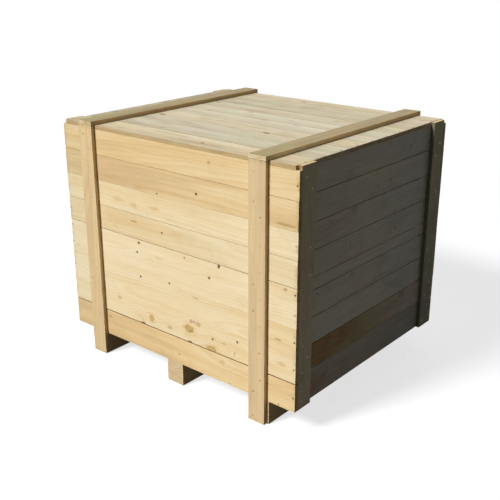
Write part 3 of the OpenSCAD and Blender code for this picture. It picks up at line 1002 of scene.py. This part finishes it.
class PACKINGBOX_OT_battens(bpy.types.Operator):
    """Makes the upright battens, the corner battens and the lid's battens"""

    bl_idname = "packing_box.battens"
    bl_label = "Battens"

    def execute(self, context):
        upright = pine("upright battens", strewn=0.25, largest=0.003)
        corners = {place: pine(f"{place} corner battens", strewn=0.0, weather=0.5,
                               ends=(0.95, 0.945, 0.935), **look)
                   for place, look in CORNERS.items()}
        top = pine("lid battens", strewn=0.15, largest=0.003, streaky=0.9, weather=0.7, rough=0.72,
                   wash=(0.725, 0.715, 0.625), ends=(0.95, 0.98, 1.02),
                   fading=(0.0, 0.5, (0.965, 0.965, 0.97)))
        for side, out, tone, grey in (("left", -X, (0.85, 0.75, 0.17), 0.25),
                                      ("right", X, (1.05, 0.8, 0.22), 0.7)):
            make_timbers(f"front_batten_{side}", upright, Z, -Y, [tone], (0.15,))
            make_timbers(f"back_batten_{side}", upright, Z, Y, [(0.8, 0.75, 0.15)], (0.15,))
            make_timbers(f"lid_batten_{side}", top, Y, Z, [(0.6, 1.1, 0.4)], (0.0,))
            for place in ("front", "back"):
                corner = corners["left" if side == "left" else f"right {place}"]
                # 0.8 darkens the corner battens' narrow faces: painted shade
                make_timbers(f"{side}_end_batten_{place}", corner, Z, out, [(0.5, 0.5, grey)],
                             (0.8,))
        return {"FINISHED"}


class PACKINGBOX_OT_skids(bpy.types.Operator):
    """Makes the three skids"""

    bl_idname = "packing_box.skids"
    bl_label = "Skids"

    def execute(self, context):
        wood = pine("skids", ends=(0.93, 0.945, 1.0), rough=0.75, pitch=0.0075, marks=1.6)
        for place in ("left", "middle", "right"):
            # 0.25 darkens the skids' sides: painted shade
            make_timbers(f"{place}_skid", wood, Y, Z, [(0.7, 0.6, 0.3)], (0.25,))
        return {"FINISHED"}


class PACKINGBOX_OT_nails(bpy.types.Operator):
    """Drives the nails, each where the frame has one"""

    bl_idname = "packing_box.nails"
    bl_label = "Nails"

    def execute(self, context):
        settings = context.scene.packing_box_nails
        steel = dull_steel(settings)
        for node, out in NAIL_FACES.items():
            dice = random.Random(node)
            turn = facing(X if out == Z else Z, out)
            axis = axis_of(out)
            points = []
            for low, high in solids(node):
                top = (low + high) / 2
                top[axis] = high[axis] if out[axis] > 0 else low[axis]
                points.append({"centre": top, "turn": turn, "reach": high[axis] - low[axis],
                               "rusty": dice.random() ** 2})
            foremost = max(abs(point["centre"][axis]) for point in points)
            for point in points:
                place = point["centre"]
                if abs(place[axis]) < foremost - BATTEN_STEP:
                    damp = place.x > RAINED_ON and not SHELTERED[0] < place.z < SHELTERED[1]
                    point["rusty"] += RUST[damp]
            piece = grown(f"{node}_steel", points, built_once("Driven nails", nail_nodes),
                          head=settings.head, shank=settings.shank, plate=settings.plate,
                          material=steel)
            stand_in(piece, node)
        return {"FINISHED"}


def aimed(direction):
    """The turn of a camera or lamp that points in a direction."""
    return Vector(direction).to_track_quat("-Z", "Y").to_euler()


def looked_at(tree):
    """1 for the rays by which the camera, gloss and glass see, and 0 for those that light."""
    rays = tree.named(tree.add("ShaderNodeLightPath"))
    return tree.highest([rays[f"Is {sort} Ray"] for sort in ("Camera", "Glossy", "Transmission")])


class PACKINGBOX_OT_stage(bpy.types.Operator):
    """Sets the camera, the lamps, the pale floor and the white surroundings"""

    bl_idname = "packing_box.stage"
    bl_label = "Stage"

    def execute(self, context):
        settings = context.scene.packing_box_stage
        context.scene.view_settings.view_transform = "Standard"
        context.scene.camera = self.camera(settings)
        for name, power, width, towards in (
                ("key lamp", settings.key, settings.softness, (0.25, 0.73, -0.64)),
                ("back lamp", settings.back, 1.0, (0.35, -0.80, -0.45))):
            lamp = new_object(name, bpy.data.lights.new(name, "SUN"))
            lamp.data.energy, lamp.data.angle = power, width
            lamp.rotation_euler = aimed(towards)
        context.scene.world = self.surroundings(settings)
        floor = self.floor(settings)
        return {"FINISHED"}

    def camera(self, settings):
        camera = new_object("camera", bpy.data.cameras.new("camera"))
        camera.data.sensor_width = 36  # millimetres
        camera.data.lens = settings.lens
        camera.location = settings.place
        turn, tip = settings.azimuth, settings.elevation
        level = math.cos(tip)
        camera.rotation_euler = aimed((-math.sin(turn) * level, math.cos(turn) * level,
                                       -math.sin(tip)))
        return camera

    def surroundings(self, settings):
        """White where it is looked at, and a faint light from all round."""
        world = bpy.data.worlds.new("white surroundings")
        tree = bare_tree(world)
        light = tree.value("ShaderNodeBackground", (*settings.sky, 1), settings.fill)
        white = tree.value("ShaderNodeBackground", (1, 1, 1, 1), 1.0)
        mixed = tree.value("ShaderNodeMixShader", looked_at(tree), light, white)
        tree.add("ShaderNodeOutputWorld", mixed)
        return world

    def floor(self, settings):
        """A floor that keeps the box's shadow and is white further off. It throws little light
        back at the box, and from below it can't be seen."""
        reach, shadow_ends, white_from = 40, 1.4, 3.4  # all from the box's middle
        material = bpy.data.materials.new("pale floor")
        tree = bare_tree(material)
        place = tree.value("ShaderNodeTexCoord", output="Object")
        shade = (tree.noise(tree.scaled(place, 3.0)) - 0.5) * 0.02 + settings.floor
        plain = tree.value("ShaderNodeBsdfDiffuse", shade)
        # Near the box it is white where the lamps reach, and in the shadow it has only its glow
        bright = tree.value("ShaderNodeBsdfDiffuse", (0.34, 0.34, 0.34, 1))
        glow = tree.value("ShaderNodeEmission", (1, 1, 1, 1), 0.72)
        white = tree.value("ShaderNodeEmission", (1, 1, 1, 1), 1.0)
        near = tree.value("ShaderNodeAddShader", bright, glow)
        far = tree.vector("LENGTH", place).fade(shadow_ends, white_from)
        shown = tree.value("ShaderNodeMixShader", far, near, white)
        top = tree.value("ShaderNodeMixShader", looked_at(tree), plain, shown)
        under = tree.value("ShaderNodeBsdfTransparent")
        back = tree.value("ShaderNodeNewGeometry", output="Backfacing")
        tree.add("ShaderNodeOutputMaterial", tree.value("ShaderNodeMixShader", back, top, under))
        mesh = bpy.data.meshes.new("floor")
        mesh.from_pydata([(-reach, -reach, 0), (reach, -reach, 0), (reach, reach, 0),
                          (-reach, reach, 0)], [], [(0, 1, 2, 3)])
        mesh.materials.append(material)
        return new_object("floor", mesh)


class PACKINGBOX_PT_panel(bpy.types.Panel):
    """Lists the settings and the steps of the packing box"""

    bl_label = "Packing box"
    bl_space_type = "VIEW_3D"
    bl_region_type = "UI"
    bl_category = "Packing box"

    def draw(self, context):
        for operator in OPERATORS:
            self.layout.operator(operator.bl_idname)
        for name, group in GROUPS.items():
            column = self.layout.column(align=True)
            for key in group.__annotations__:
                column.prop(getattr(context.scene, name), key)


OPERATORS = (PACKINGBOX_OT_stage, PACKINGBOX_OT_front_panel, PACKINGBOX_OT_right_end,
             PACKINGBOX_OT_hidden_panels, PACKINGBOX_OT_lid_boards, PACKINGBOX_OT_battens,
             PACKINGBOX_OT_skids, PACKINGBOX_OT_nails)
GROUPS = {"packing_box_timber": TimberSettings, "packing_box_pine": PineSettings,
          "packing_box_nails": NailSettings, "packing_box_stage": StageSettings}
CLASSES = (*GROUPS.values(), *OPERATORS, PACKINGBOX_PT_panel)


def register():
    for cls in CLASSES:
        bpy.utils.register_class(cls)
    for name, group in GROUPS.items():
        setattr(bpy.types.Scene, name, PointerProperty(type=group))


def unregister():
    for name in GROUPS:
        delattr(bpy.types.Scene, name)
    for cls in reversed(CLASSES):
        bpy.utils.unregister_class(cls)


def main():
    register()
    for operator in OPERATORS:
        getattr(bpy.ops.packing_box, operator.bl_idname.split(".")[1])()


if __name__ == "__main__":
    main()
